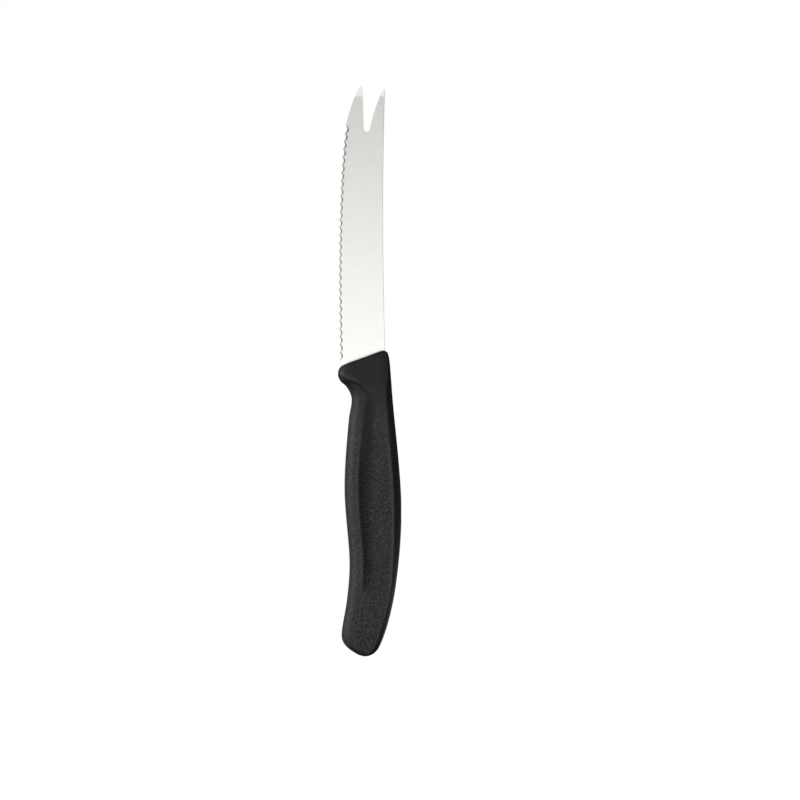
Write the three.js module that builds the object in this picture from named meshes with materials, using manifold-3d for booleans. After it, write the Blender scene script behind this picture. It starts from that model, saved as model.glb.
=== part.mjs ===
// A bar knife: a forked, scallop-edged steel blade with a hidden tang, and a plastic handle moulded round it.
// Millimetres. +Z runs up the knife to the fork, +X to the spine, and -Y is the side that the scallops are
// ground on. Heights are measured from the heel, where the cutting edge meets the handle, and reaches from
// the blade's centre line. The last lines lower the knife so that its origin is the middle of the blade.
import * as THREE from "three";
import { mergeVertices } from "three/addons/utils/BufferGeometryUtils.js";
import Module from "manifold-3d";

// Blade
const BLADE_LENGTH = 109.9; // heel to the tip of the long tine
const SPINE_THICKNESS = 1.2; // the strip that the blade is stamped from
const EDGE_THICKNESS = 0.36; // what the flat grind leaves behind the scallops
const EDGE_HEEL_REACH = 8.45;
const EDGE_BELLY_REACH = 8.95;
const EDGE_BELLY_HEIGHT = 40;
const SPINE_TIP_REACH = 9.25;
const SPINE_FLARE = 0.3; // how much further the spine reaches at the heel
const SPINE_BOW = 0.65; // how far it bows in between heel and tip
const SPINE_HEEL_REACH = SPINE_TIP_REACH + SPINE_FLARE;
const SPINE_WAIST_REACH = SPINE_TIP_REACH - SPINE_BOW;
const RACK_HEIGHT = 50; // middle of the flat that lies against a magnetic rack

// Forked tip: drops are measured down from the tip of the long tine
const SHORT_TINE_DROP = 1.4;
const SHORT_TINE_WIDTH = 1.5;
const LONG_TINE_REACH = 0.65; // inner side of the long tine
const FORK_DEPTH = 18.2;
const FORK_FLOOR_REACH = 2.2;
const FORK_FLOOR_RADIUS = 1.15;
const TINE_ROUND = 1.7; // height of the rounded tips
const TINE_GRIND_DROP = 4.2; // where the front of both tines begins to thin
const TINE_GRIND_ANGLE = 8; // degrees

// Scallops
const SCALLOP_START_DROP = 15.8;
const SCALLOP_END_HEIGHT = 1.2;
const SCALLOP_PITCH = 3.085;
const SCALLOP_DEPTH = 0.72;
const SCALLOP_ANGLE = 27; // degrees between the ground hollow and the face of the blade

// Tang
const HEEL_DEPTH = 4; // how far the full blade runs into the handle
const HEEL_ROUND = 1.6;
const TANG_LENGTH = 66;
const TANG_WIDTH = 8.8;
const TANG_END_WIDTH = 6;
const LOCK_HOLE = 4.4;
const UPPER_LOCK_DROP = 22;
const LOWER_LOCK_DROP = 46;
const TANG_CLEARANCE = 0.3;

// Handle outline, with drops measured down from the heel
const HANDLE_LENGTH = 115.4; // heel to the bottom of the butt
const FRONT_REACH = 6.3; // the flat front face, to both sides of the centre line
const FRONT_SLOPE = 19.4; // degrees that the front face rises towards the back
const GUARD_STEP = 0.75; // how far the guard stands proud of the cutting edge
const GUARD_DROP = 4;
const NOTCH_REACH = 3.82;
const NOTCH_DROP = 13.2;
const SWELL_REACH = 6.55;
const SWELL_DROP = 49;
const WAIST_REACH = 4.57;
const WAIST_DROP = 79;
const BUTT_REACH = 7.7;
const BACK_STEP = 1.25; // how far the handle stands proud of the spine
const BACK_SWELL_REACH = 15.85;
const BACK_SWELL_DROP = 58;

// Handle section
const FRONT_THICKNESS = 9.2;
const SWELL_THICKNESS = 13;
const BUTT_THICKNESS = 12;
const FRONT_ROUND = 1.1;
const BUTT_ROUND = 2.4;
const BELLY_ROLL = 6.4; // how far the rolled belly reaches across the side
const CREST_REACH = 5.4; // from the belly to the crest, behind which the side panel lies lower
const PANEL_REACH = 5.45; // from the centre line to where the panel is level
const PANEL_SLOPE = 0.43; // how steeply it falls behind the crest
const PANEL_FADE = 12; // how gently it begins and ends along the handle
const FRONT_CROWN = 0.4; // how far the crowned back reaches across the side
const SWELL_CROWN = 2.7;
const BUTT_CROWN = 1.5;
const RIDGE_ANGLE = 26.6; // degrees that the ridge falls as it runs back from the guard
const RIDGE_LENGTH = 13;
const RIDGE_WIDTH = 2;
const RIDGE_HEIGHT = 0.3;
const SCOOP_DEPTH = 0.45; // under the ridge
const SCOOP_WIDTH = 1.5;
const SCOOP_LENGTH = 8;
const SCOOP_MIDDLE = 10; // from the nose of the guard

// Fineness of the faces
const SCALLOP_SIDES = 64;
const CURVE_STEPS = 14;
const EDGE_STEPS = 56;
const ROLL_STEPS = 6;
const SIDE_STEPS = 10;
const CROWN_STEPS = 4;
const FINE_STATION = 1.3;
const GRIP_STATION = 3.4;
const FINE_NOSE = 18; // how much of each end has sections FINE_STATION apart
const FINE_BUTT = 16;

const { clamp, degToRad, lerp, smoothstep } = THREE.MathUtils;
const wasm = await Module();
wasm.setup();

// Solids and meshes

function solidOf(geometry) {
  const bare = geometry.clone();
  bare.deleteAttribute("normal");
  bare.deleteAttribute("uv");
  const merged = mergeVertices(bare, 1e-5);
  return new wasm.Manifold(
    new wasm.Mesh({
      numProp: 3,
      vertProperties: merged.attributes.position.array,
      triVerts: new Uint32Array(merged.index.array),
    }),
  );
}

function meshOf(name, solid, material) {
  const { vertProperties, triVerts } = solid.getMesh();
  const geometry = new THREE.BufferGeometry();
  geometry.setAttribute("position", new THREE.BufferAttribute(vertProperties, 3));
  geometry.setIndex(new THREE.BufferAttribute(triVerts, 1));
  geometry.computeVertexNormals();
  const mesh = new THREE.Mesh(geometry, material);
  mesh.name = name;
  return mesh;
}

function smoothCurve(points) {
  return new THREE.CatmullRomCurve3(points.map(([reach, height]) => new THREE.Vector3(reach, 0, height)));
}

// A plate drawn in the plane of the blade. A point's half thickness follows from its reach.
function plate(shape, halfThickness) {
  const geometry = new THREE.ExtrudeGeometry(shape, {
    depth: 2,
    steps: 1,
    curveSegments: CURVE_STEPS,
    bevelEnabled: false,
  });
  geometry.rotateX(Math.PI / 2);
  geometry.translate(0, 1, 0);
  const place = geometry.attributes.position;
  for (let i = 0; i < place.count; i++) {
    place.setY(i, Math.sign(place.getY(i)) * halfThickness(place.getX(i)));
  }
  return solidOf(geometry);
}

// Blade

const shortTip = BLADE_LENGTH - SHORT_TINE_DROP;
const forkFloor = BLADE_LENGTH - FORK_DEPTH + FORK_FLOOR_RADIUS;

// The flat grind takes both faces from the full strip at the spine to EDGE_THICKNESS at the edge.
function bladeHalf(reach) {
  const across = (reach + EDGE_BELLY_REACH) / (EDGE_BELLY_REACH + SPINE_HEEL_REACH);
  return lerp(EDGE_THICKNESS, SPINE_THICKNESS, across) / 2;
}

// The line through the points of the teeth, from the heel to the long tine's rounded tip.
const edgeLine = smoothCurve([
  [-EDGE_HEEL_REACH, 0],
  [-EDGE_BELLY_REACH, EDGE_BELLY_HEIGHT],
  [-7.75, BLADE_LENGTH - 31.2],
  [-6.05, BLADE_LENGTH - 15.8],
  [-3.6, BLADE_LENGTH - 7.2],
  [-1.5, BLADE_LENGTH - TINE_ROUND],
]);

function bladeShape(grow) {
  const shoulder = shortTip - TINE_ROUND;
  const waistPull = 2 * SPINE_WAIST_REACH - (SPINE_HEEL_REACH + SPINE_TIP_REACH) / 2;
  const shortInner = SPINE_TIP_REACH - SHORT_TINE_WIDTH;
  const shortFoot = FORK_FLOOR_REACH + FORK_FLOOR_RADIUS;
  const shape = new THREE.Shape();
  shape.moveTo(SPINE_HEEL_REACH + grow, -HEEL_DEPTH - grow);
  shape.lineTo(SPINE_HEEL_REACH + grow, 0);
  shape.quadraticCurveTo(waistPull + grow, shoulder / 2, SPINE_TIP_REACH + grow, shoulder);
  shape.quadraticCurveTo(SPINE_TIP_REACH + grow, shortTip, SPINE_TIP_REACH - SHORT_TINE_WIDTH / 4, shortTip);
  shape.quadraticCurveTo(SPINE_TIP_REACH - SHORT_TINE_WIDTH / 2, shortTip, shortInner, shoulder);
  const shortPull = lerp(shortFoot, shortInner, 0.38);
  shape.quadraticCurveTo(shortPull, lerp(forkFloor, shoulder, 0.5), shortFoot, forkFloor);
  shape.absarc(FORK_FLOOR_REACH, forkFloor, FORK_FLOOR_RADIUS, 0, -Math.PI, true);
  const longShoulder = BLADE_LENGTH - TINE_ROUND;
  shape.quadraticCurveTo(LONG_TINE_REACH, lerp(forkFloor, longShoulder, 0.5), LONG_TINE_REACH, longShoulder);
  shape.quadraticCurveTo(LONG_TINE_REACH, BLADE_LENGTH, 0, BLADE_LENGTH);
  for (const point of edgeLine.getSpacedPoints(EDGE_STEPS).reverse()) {
    shape.lineTo(point.x - grow, point.z);
  }
  const heelCorner = HEEL_ROUND - EDGE_HEEL_REACH - grow;
  shape.quadraticCurveTo(-EDGE_HEEL_REACH - grow, -HEEL_DEPTH / 2, heelCorner, -HEEL_DEPTH - grow);
  shape.closePath();
  return shape;
}

// The tang keeps the full thickness of the strip. Its back runs on from the spine, and its end is round.
function tangShape(grow) {
  const centre = SPINE_HEEL_REACH - TANG_WIDTH / 2;
  const half = TANG_WIDTH / 2 + grow;
  const endRadius = TANG_END_WIDTH / 2 + grow;
  const endHeight = TANG_END_WIDTH / 2 - TANG_LENGTH;
  const shape = new THREE.Shape();
  shape.moveTo(centre + half, 0);
  shape.lineTo(centre - half, 0);
  shape.lineTo(centre - endRadius, endHeight);
  shape.absarc(centre, endHeight, endRadius, Math.PI, 2 * Math.PI, false);
  shape.closePath();
  for (const drop of [UPPER_LOCK_DROP, LOWER_LOCK_DROP]) {
    const hole = new THREE.Path();
    hole.absarc(centre, -drop, LOCK_HOLE / 2 - grow, 0, 2 * Math.PI, true);
    shape.holes.push(hole);
  }
  return shape;
}

function blank(grow) {
  const blade = plate(bladeShape(grow), (reach) => bladeHalf(reach) + grow);
  const tang = plate(tangShape(grow), () => SPINE_THICKNESS / 2 + grow);
  return blade.add(tang);
}

function edgePointAt(height) {
  const points = edgeLine.getSpacedPoints(8 * EDGE_STEPS);
  const above = points.findIndex((point) => point.z >= height);
  const [low, high] = [points[above - 1], points[above]];
  return low.clone().lerp(high, (height - low.z) / (high.z - low.z));
}

// One scallop is a round hollow between two tooth points. Its axis climbs from the back of the edge to the
// front face at SCALLOP_ANGLE, so the hollow runs out in a wave on the front and leaves the back flat.
function scallop(upper, lower) {
  const angle = degToRad(SCALLOP_ANGLE);
  const chord = upper.distanceTo(lower);
  const inward = new THREE.Vector3(upper.z - lower.z, 0, lower.x - upper.x).normalize();
  const front = new THREE.Vector3(0, -1, 0);
  const axis = inward.clone().multiplyScalar(Math.cos(angle)).addScaledVector(front, Math.sin(angle));
  const away = front.clone().multiplyScalar(Math.cos(angle)).addScaledVector(inward, -Math.sin(angle));
  const rise = SCALLOP_DEPTH * Math.sin(angle);
  const radius = chord ** 2 / (8 * rise) + rise / 2;
  const centre = upper.clone().lerp(lower, 0.5);
  centre.y = bladeHalf(centre.x);
  centre.addScaledVector(away, radius - rise);
  const hollow = new THREE.CylinderGeometry(radius, radius, 4 * SCALLOP_PITCH, SCALLOP_SIDES);
  const turned = new THREE.Matrix4().makeBasis(away, axis, away.clone().cross(axis));
  return solidOf(hollow.applyMatrix4(turned.setPosition(centre)));
}

function scallops() {
  const hollows = [];
  let height = BLADE_LENGTH - SCALLOP_START_DROP;
  while (height - SCALLOP_PITCH > SCALLOP_END_HEIGHT) {
    hollows.push(scallop(edgePointAt(height), edgePointAt(height - SCALLOP_PITCH)));
    height -= SCALLOP_PITCH;
  }
  return hollows;
}

// The wedge that is ground off the front of both tines, from a level line to their tips.
function tineWedge() {
  const start = BLADE_LENGTH - TINE_GRIND_DROP;
  const slope = Math.tan(degToRad(TINE_GRIND_ANGLE));
  const width = 4 * SPINE_TIP_REACH;
  const wedge = new THREE.BoxGeometry(width, 2, 2 * TINE_GRIND_DROP);
  wedge.translate(0, 0, start + TINE_GRIND_DROP / 2);
  const place = wedge.attributes.position;
  for (let i = 0; i < place.count; i++) {
    const ground = -bladeHalf(place.getX(i)) + slope * (place.getZ(i) - start);
    place.setY(i, place.getY(i) > 0 ? ground : -3 * SPINE_THICKNESS);
  }
  return solidOf(wedge);
}

function bladeSolid() {
  return [...scallops(), tineWedge()].reduce((blade, cut) => blade.subtract(cut), blank(0));
}

// Handle

const frontRise = Math.tan(degToRad(FRONT_SLOPE));
const frontTop = 2 * FRONT_REACH * frontRise;

const guardReach = EDGE_HEEL_REACH + GUARD_STEP;
const backFront = SPINE_HEEL_REACH + BACK_STEP;
const buttTop = 8.2 - HANDLE_LENGTH;

const bellyLine = smoothCurve([
  [-FRONT_REACH, 0],
  [0.85 - guardReach, 2.7 - GUARD_DROP],
  [-guardReach, -GUARD_DROP],
  [1 - guardReach, -2.7 - GUARD_DROP],
  [-2.05 - NOTCH_REACH, 4.3 - NOTCH_DROP],
  [-NOTCH_REACH, -NOTCH_DROP],
  [-1.1 - NOTCH_REACH, -9.2 - NOTCH_DROP],
  [-SWELL_REACH, -SWELL_DROP],
  [-WAIST_REACH, -WAIST_DROP],
  [-lerp(WAIST_REACH, BUTT_REACH, 0.3), lerp(-WAIST_DROP, buttTop, 0.475)],
  [-BUTT_REACH, buttTop],
  [0.6 - BUTT_REACH, 5.6 - HANDLE_LENGTH],
  [2.4 - BUTT_REACH, 3.35 - HANDLE_LENGTH],
  [4.7 - BUTT_REACH, 1.85 - HANDLE_LENGTH],
]);

const backLine = smoothCurve([
  [FRONT_REACH, frontTop],
  [backFront - 2.2, frontTop + 0.85],
  [backFront - 0.7, frontTop + 0.35],
  [backFront, frontTop - 1.2],
  [backFront + 1.6, frontTop - 18.6],
  [BACK_SWELL_REACH, -BACK_SWELL_DROP],
  [BACK_SWELL_REACH - 2.25, 27.7 - HANDLE_LENGTH],
  [10.65, 13.5 - HANDLE_LENGTH],
  [7.8, 5.2 - HANDLE_LENGTH],
  [6.35, 2.5 - HANDLE_LENGTH],
  [4.5, 0.8 - HANDLE_LENGTH],
  [1.9, -HANDLE_LENGTH],
  [0, 0.3 - HANDLE_LENGTH],
]);

const bellyEnd = bellyLine.points.at(-1);
const buttNormal = backLine.points.at(-1).clone().sub(bellyEnd).normalize();
buttNormal.set(buttNormal.z, 0, -buttNormal.x);

const quarterRound = (part) => Math.sqrt(1 - (1 - clamp(part, 0, 1)) ** 2);
const bump = (offset, width) => Math.exp(-4 * (offset / width) ** 2);

// Half the handle's thickness before the belly is rolled and the back is crowned, with both ends rounded. It
// thins towards the front with the cube of the way from the swell.
function sideHalf(point) {
  const towardsFront = clamp((SWELL_DROP + point.z) / (SWELL_DROP + frontTop), 0, 1);
  const towardsButt = smoothstep(-point.z, SWELL_DROP, HANDLE_LENGTH);
  const thinned = lerp(SWELL_THICKNESS, FRONT_THICKNESS, towardsFront ** 3);
  const grip = lerp(thinned, BUTT_THICKNESS, towardsButt) / 2;
  const fromFront = ((point.x + FRONT_REACH) * frontRise - point.z) * Math.cos(degToRad(FRONT_SLOPE));
  const fromButt = bellyEnd.clone().sub(point).dot(buttNormal);
  const frontLoss = FRONT_ROUND * (1 - quarterRound(fromFront / FRONT_ROUND));
  const buttLoss = BUTT_ROUND * (1 - quarterRound(fromButt / BUTT_ROUND));
  return grip - frontLoss - buttLoss;
}

// How far the side panel lies below the crest of the belly roll, at a place measured from the belly. The fall
// is a soft step at the notch and steep behind the crest further down, and it fades out at both ends.
function panelDrop(place, point) {
  const drop = -point.z;
  const [start, end] = [NOTCH_DROP - PANEL_FADE / 2, WAIST_DROP + PANEL_FADE / 4];
  const fade = smoothstep(drop, start, start + PANEL_FADE) * (1 - smoothstep(drop, end, end + PANEL_FADE));
  const run = Math.max(PANEL_REACH - (point.x - place) - CREST_REACH, CREST_REACH / 2);
  const steep = 1 - (1 - clamp((place - CREST_REACH) / run, 0, 1)) ** 2;
  const soft = smoothstep(place, 0.75 * CREST_REACH, CREST_REACH + 0.8 * run);
  const depth = (PANEL_SLOPE * run) / 2;
  return depth * fade * lerp(soft, steep, smoothstep(drop, NOTCH_DROP + PANEL_FADE, SWELL_DROP));
}

// How far the crowned back reaches across the side: little at the front, most at the swell, less at the butt.
function crownWidth(height) {
  const grip = lerp(FRONT_CROWN, SWELL_CROWN, smoothstep(-height, 0, NOTCH_DROP));
  return lerp(grip, BUTT_CROWN, smoothstep(-height, BACK_SWELL_DROP, WAIST_DROP + PANEL_FADE));
}

// Share of the thickness that is left near the back: a quarter ellipse at the front, further down a parabola.
function backFall(part, height) {
  return lerp(quarterRound(part), Math.sqrt(part), smoothstep(-height, NOTCH_DROP, SWELL_DROP));
}

// The ridge that runs back from the guard, and the scoop under it where a finger lies.
function guardRelief(point) {
  const angle = degToRad(RIDGE_ANGLE);
  const [fromNose, fromGuard] = [point.x + guardReach, point.z + GUARD_DROP];
  const along = fromNose * Math.cos(angle) - fromGuard * Math.sin(angle);
  const above = fromNose * Math.sin(angle) + fromGuard * Math.cos(angle);
  const fade = 1 - smoothstep(along, 0.3 * RIDGE_LENGTH, RIDGE_LENGTH);
  const ridge = RIDGE_HEIGHT * fade * bump(above, RIDGE_WIDTH);
  const across = bump(above + 0.65 * RIDGE_WIDTH, SCOOP_WIDTH);
  return ridge - SCOOP_DEPTH * across * bump(along - SCOOP_MIDDLE, SCOOP_LENGTH);
}

// Where the points of one section lie, measured from the belly: close together on the roll, behind the crest
// and on the crown.
function sectionPlaces(width, crown) {
  const crest = Math.min(CREST_REACH, width * 0.4);
  const places = [];
  for (let i = 0; i < ROLL_STEPS; i++) {
    places.push(crest * (1 - Math.cos((Math.PI / 2) * (i / ROLL_STEPS))));
  }
  for (let i = 0; i < SIDE_STEPS; i++) {
    places.push(lerp(crest, width - crown, (i / SIDE_STEPS) ** 1.4));
  }
  for (let i = CROWN_STEPS; i >= 0; i--) {
    places.push(width - crown * (i / CROWN_STEPS) ** 2);
  }
  return places;
}

// One closed section between a point of the belly and a point of the back: along the front side, then along
// the back side. The belly rolls over in a quarter ellipse, and the side panel lies between it and the crown.
function section(belly, back) {
  const width = belly.distanceTo(back);
  const roll = Math.min(BELLY_ROLL, width * 0.45);
  const crown = Math.min(crownWidth(back.z), width * 0.3);
  const side = sectionPlaces(width, crown).map((place) => {
    const point = belly.clone().lerp(back, place / width);
    const shape = quarterRound(place / roll) * backFall(clamp((width - place) / crown, 0, 1), point.z);
    point.y = -shape * (sideHalf(point) + guardRelief(point) - panelDrop(place, point));
    return point;
  });
  const farSide = side.slice(1, -1).reverse();
  return [...side, ...farSide.map((point) => new THREE.Vector3(point.x, -point.y, point.z))];
}

// Sections follow each other from the front face to the butt, close together where the outline turns.
function handleSections() {
  const length = backLine.getLength();
  const stations = [0];
  while (stations.at(-1) < length - 1.5 * FINE_STATION) {
    const at = stations.at(-1);
    const fine = at < FINE_NOSE || at > length - FINE_BUTT;
    stations.push(at + (fine ? FINE_STATION : GRIP_STATION));
  }
  stations.push(length);
  return stations.map((at) => section(bellyLine.getPointAt(at / length), backLine.getPointAt(at / length)));
}

// A closed skin through sections of equal count. Both end faces are strips between the front and back sides.
function loft(sections) {
  const count = sections[0].length;
  const facing = (j) => (count - j) % count;
  const triangles = [];
  const index = (i, j) => i * count + (j % count);
  for (let i = 0; i + 1 < sections.length; i++) {
    for (let j = 0; j < count; j++) {
      triangles.push(index(i, j), index(i + 1, j), index(i + 1, j + 1));
      triangles.push(index(i, j), index(i + 1, j + 1), index(i, j + 1));
    }
  }
  const last = sections.length - 1;
  for (let j = 0; j < count / 2; j++) {
    const strip = [];
    if (facing(j + 1) !== j + 1) strip.push([j, j + 1, facing(j + 1)]);
    if (j > 0) strip.push([j, facing(j + 1), facing(j)]);
    for (const [a, b, c] of strip) {
      triangles.push(index(0, a), index(0, b), index(0, c));
      triangles.push(index(last, a), index(last, c), index(last, b));
    }
  }
  const geometry = new THREE.BufferGeometry().setFromPoints(sections.flat());
  return geometry.setIndex(triangles);
}

// The moulded body less the room for the heel and tang. The plastic runs through the tang's lock holes.
function handleSolid() {
  return solidOf(loft(handleSections())).subtract(blank(TANG_CLEARANCE));
}

const steel = new THREE.MeshStandardMaterial({ color: 0xdcdbd8, roughness: 0.32, metalness: 1 });
const plastic = new THREE.MeshStandardMaterial({ color: 0x2c2c2e, roughness: 0.62, metalness: 0 });

const assembled = new THREE.Group();
assembled.position.z = -RACK_HEIGHT;
assembled.add(meshOf("blade", bladeSolid(), steel));
assembled.add(meshOf("handle", handleSolid(), plastic));

const knife = new THREE.Group();
knife.add(assembled);

export default knife;
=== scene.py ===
import math

import bmesh
import bpy
import numpy as np
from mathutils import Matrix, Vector


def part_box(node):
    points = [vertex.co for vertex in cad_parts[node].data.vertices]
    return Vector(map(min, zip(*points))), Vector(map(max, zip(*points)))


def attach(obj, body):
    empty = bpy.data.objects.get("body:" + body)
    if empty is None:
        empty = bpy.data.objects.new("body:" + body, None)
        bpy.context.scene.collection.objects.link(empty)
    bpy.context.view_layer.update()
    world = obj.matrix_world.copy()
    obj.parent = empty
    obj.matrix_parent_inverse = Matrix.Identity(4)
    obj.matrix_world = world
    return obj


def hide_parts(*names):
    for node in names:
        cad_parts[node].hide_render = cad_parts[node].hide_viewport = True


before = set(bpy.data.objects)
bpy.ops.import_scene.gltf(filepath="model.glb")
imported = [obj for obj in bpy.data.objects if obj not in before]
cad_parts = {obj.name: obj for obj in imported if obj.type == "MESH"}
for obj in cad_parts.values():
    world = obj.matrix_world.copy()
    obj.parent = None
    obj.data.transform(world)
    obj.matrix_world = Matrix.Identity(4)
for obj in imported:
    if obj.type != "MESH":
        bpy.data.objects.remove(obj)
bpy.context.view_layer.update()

# Lengths are millimetres in the knife's own frame, with heights measured from the heel of the cutting edge.
# place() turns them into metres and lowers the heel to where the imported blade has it.
MM = 0.001
RACK_HEIGHT = 50.0

# Blade
BLADE_LENGTH = 109.9
SPINE_THICKNESS = 1.2
EDGE_THICKNESS = 0.24
EDGE_HEEL_REACH = 8.45
EDGE_BELLY_REACH = 8.95
EDGE_BELLY_HEIGHT = 40.0
SPINE_TIP_REACH = 9.25
SPINE_HEEL_REACH = SPINE_TIP_REACH + 0.3
SPINE_WAIST_REACH = SPINE_TIP_REACH - 0.65
SPINE_BREAK = 0.1
TIP_BREAK_SHARE = 0.2
HEEL_DEPTH = 4.0
HEEL_ROUND = 1.6

# Forked tip
TINE_ROUND = 1.7
LONG_TINE_SHOULDER = BLADE_LENGTH - TINE_ROUND
LONG_TINE_REACH = 0.65
SHORT_TINE_TOP = BLADE_LENGTH - 1.4
SHORT_TINE_SHOULDER = SHORT_TINE_TOP - TINE_ROUND
SHORT_TINE_WIDTH = 1.5
SHORT_TINE_BOW = 0.38
FORK_FLOOR_REACH = 2.2
FORK_FLOOR_RADIUS = 1.15
FORK_FLOOR = BLADE_LENGTH - 18.2
FORK_FOOT = FORK_FLOOR + FORK_FLOOR_RADIUS
TINE_GRIND_START = BLADE_LENGTH - 4.2
TINE_GRIND_SLOPE = math.tan(math.radians(8))

# Scallops
SCALLOP_TOP = BLADE_LENGTH - 15.8
SCALLOP_END = 1.2
SCALLOP_PITCH = 3.085
SCALLOPS = math.floor((SCALLOP_TOP - SCALLOP_END) / SCALLOP_PITCH)
SCALLOP_DEPTH = 0.72
SCALLOP_ANGLE = math.radians(27)
SCALLOP_SLOPE = math.tan(SCALLOP_ANGLE)
SCALLOP_RUN_OUT = 0.8
CUTTING_LAND = 0.03

# Tang
TANG_LENGTH = 66.0
TANG_WIDTH = 8.8
TANG_END_RADIUS = 3.0
TANG_END_START = TANG_END_RADIUS - TANG_LENGTH
TANG_CENTRE = SPINE_HEEL_REACH - TANG_WIDTH / 2

# Handle outline
HANDLE_LENGTH = 115.4
FRONT_REACH = 6.3
FRONT_SLOPE = math.radians(19.4)
FRONT_TOP = 2 * FRONT_REACH * math.tan(FRONT_SLOPE)
GUARD_REACH = EDGE_HEEL_REACH + 0.75
GUARD_DROP = 4.0
NOTCH_REACH = 3.82
NOTCH_DROP = 13.2
SWELL_REACH = 6.55
SWELL_DROP = 49.0
WAIST_REACH = 4.57
WAIST_DROP = 79.0
BUTT_REACH = 7.7
BUTT_TOP = 8.2 - HANDLE_LENGTH
BACK_FRONT = SPINE_HEEL_REACH + 1.25
BACK_SWELL_REACH = 15.85
BACK_SWELL_DROP = 58.0

# Handle section
FRONT_THICKNESS = 9.2
SWELL_THICKNESS = 13.0
BUTT_THICKNESS = 12.0
FRONT_ROUND = 1.1
BUTT_ROUND = 2.4
BELLY_ROLL = 6.4
CREST_REACH = 5.4
PANEL_REACH = 5.45
PANEL_SLOPE = 0.5
PANEL_FADE = 12.0
FRONT_CROWN = 0.7
FRONT_LEAN = 0.35
LEAN_REACH = 4.5
SWELL_CROWN = 2.7
BUTT_CROWN = 1.5
PARTING_RIDGE = 0.05

# Shares: the most of the width that a form takes, where the soft step at the notch starts and ends, and how
# far the corner of the crowned back is eased
MOST_ROLL = 0.45
MOST_CREST = 0.4
MOST_CROWN = 0.3
SOFT_STEP_START = 0.65
SOFT_STEP_RUN = 1.1
CREASE_ROUND = 0.025
CREASE_SPAN = 4

# Guard
RIDGE_ANGLE = math.radians(26.6)
RIDGE_LENGTH = 13.0
RIDGE_FADE_START = 0.3 * RIDGE_LENGTH
RIDGE_WIDTH = 2.0
RIDGE_HEIGHT = 0.3
RIDGE_RISE = 0.7
SCOOP_DEPTH = 0.45
SCOOP_WIDTH = 1.3
SCOOP_LENGTH = 8.0
SCOOP_MIDDLE = 10.0
SCOOP_DROP = 0.65 * RIDGE_WIDTH

# Rubbed, polished crisp edges with a painted highlight: its strength, how far its middle lies from the form
# it follows, and its width. On the guard's ridge it starts and comes to its full strength at these distances
# from the belly.
CREASE_WEAR_SHEEN = 1.7
CREASE_SHEEN_SHIFT = 0.5
CREASE_SHEEN_WIDTH = 1.3
CREST_WEAR_SHEEN = 0.6
CREST_SHEEN_SHIFT = 0.6
CREST_SHEEN_WIDTH = 1.6
RIDGE_WEAR_SHEEN = 1.5
RIDGE_SHEEN_START = 0.2
RIDGE_SHEEN_FULL = 1.4

# Meshes: rows up a piece, steps across it, angles in degrees, and the metres within which points are welded
CURVE_STEPS = 300
EDGE_STEPS = 4000
ROUND_ROWS = 13
TANG_ROWS = 10
HEEL_ROWS = 8
RUN_OUT_ROWS = 8
SCALLOP_ROWS = 20
PLAIN_ROWS = 16
GRIND_ROWS = 5
TIP_ROWS = 19
PLATE_STEPS = 9
GROUND_RIM = 0.01
HANDLE_ROWS = 420
ROLL_STEPS = 26
CREST_STEPS = 14
CREST_START = 0.92
CREST_END = 1.3
SIDE_STEPS = 26
CROWN_STEPS = 26
CROWN_SPAN = 1.3
HAIR = 0.001
HEIGHT_DIGITS = 4
BLADE_SHARP_ANGLE = 5
PLAIN_SHARP_ANGLE = 40
WELD = 2e-7

# Steel: brush lines in millimetres, colours, roughness
BRUSH_LENGTH = 9.0
BRUSH_WIDTH = 0.4
BRUSH_DEPTH = 0.02
BRUSH_BUMP = 0.2
STEEL_DULL = (0.816, 0.805, 0.775, 1)
STEEL_BRIGHT = (0.862, 0.852, 0.826, 1)
# Painted shade: the colour of the edge's hollows, darker steel in place of the dark surroundings they mirror
STEEL_HOLLOW_SHADE = (0.25, 0.247, 0.24, 1)
STEEL_ROUGHNESS = (0.29, 0.33)
GROUND_ROUGHNESS = 0.08
STREAK_NOISE = {"scale": 1.0, "detail": 2.0, "roughness": 0.6}
STREAK_FINENESS = (1.7, 1.0, 4.3)
STREAK_WEIGHTS = (0.45, 0.55)
STREAK_RANGE = (0.3, 0.7)

# Plastic: grain in millimetres, the heights between which it turns fine and pale, colours, roughness
GRAIN_SIZE = 0.52
GRAIN_DEPTH = 0.2
GRAIN_HEIGHTS = (-42.0, -10.0)
PALE_HEIGHTS = (-20.0, -8.0)
GUARD_GRAIN = 0.2
PLASTIC_PIT = (0.0033, 0.0033, 0.0046, 1)
PLASTIC_PEAK = (0.0725, 0.0722, 0.083, 1)
PLASTIC_ROUGHNESS = (0.46, 0.28)
PLASTIC_SPECULAR = 0.435
GUARD_ROUGHNESS = 0.05
WEAR_SHEEN_LIFT = 0.35
PALE_LIFT = 0.45
WEAR_POLISH = 0.08
GRAIN_NOISE = {"detail": 1.0, "roughness": 0.5}
GRAIN_FINENESS = 2.6
GRAIN_WEIGHTS = (0.65, 0.35)
GLINT_RANGE = (0.45, 0.63)

# Picture
PIXELS_PER_MM = 2.532
PICTURE_WIDTH = 800
PICTURE_CENTRE = (15.318, -14.218)
LENS = 135.0
SENSOR = 36.0

# Floor, in metres. A level runs from one distance to another, and from one share of white to another.
FLOOR_HEIGHT = -0.4
FLOOR_SIZE = 6.0
WHITE = (1, 1, 1, 1)
SHADOW_LEVEL = (0.1, 0.4, 0.8, 1.0)
LEFT_LEVEL = (0.5, 0.75, 0.0, 0.52)
LEFT_DEPTH_LEVEL = (0.0, 0.6, 1.0, 0.25)
RIGHT_LEVEL = (0.9, 1.5, 0.0, 0.44)
RIGHT_FAR_LEVEL = (2.2, 3.5, 1.0, 0.5)
LEVEL_TURN = (-0.3, 0.5)
PAPER_TURN = (-0.1, 0.2)
PAPER_LEFT = (0.3, 0.3, 0.3, 1)
PAPER_RIGHT = (0.06, 0.06, 0.06, 1)

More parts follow.
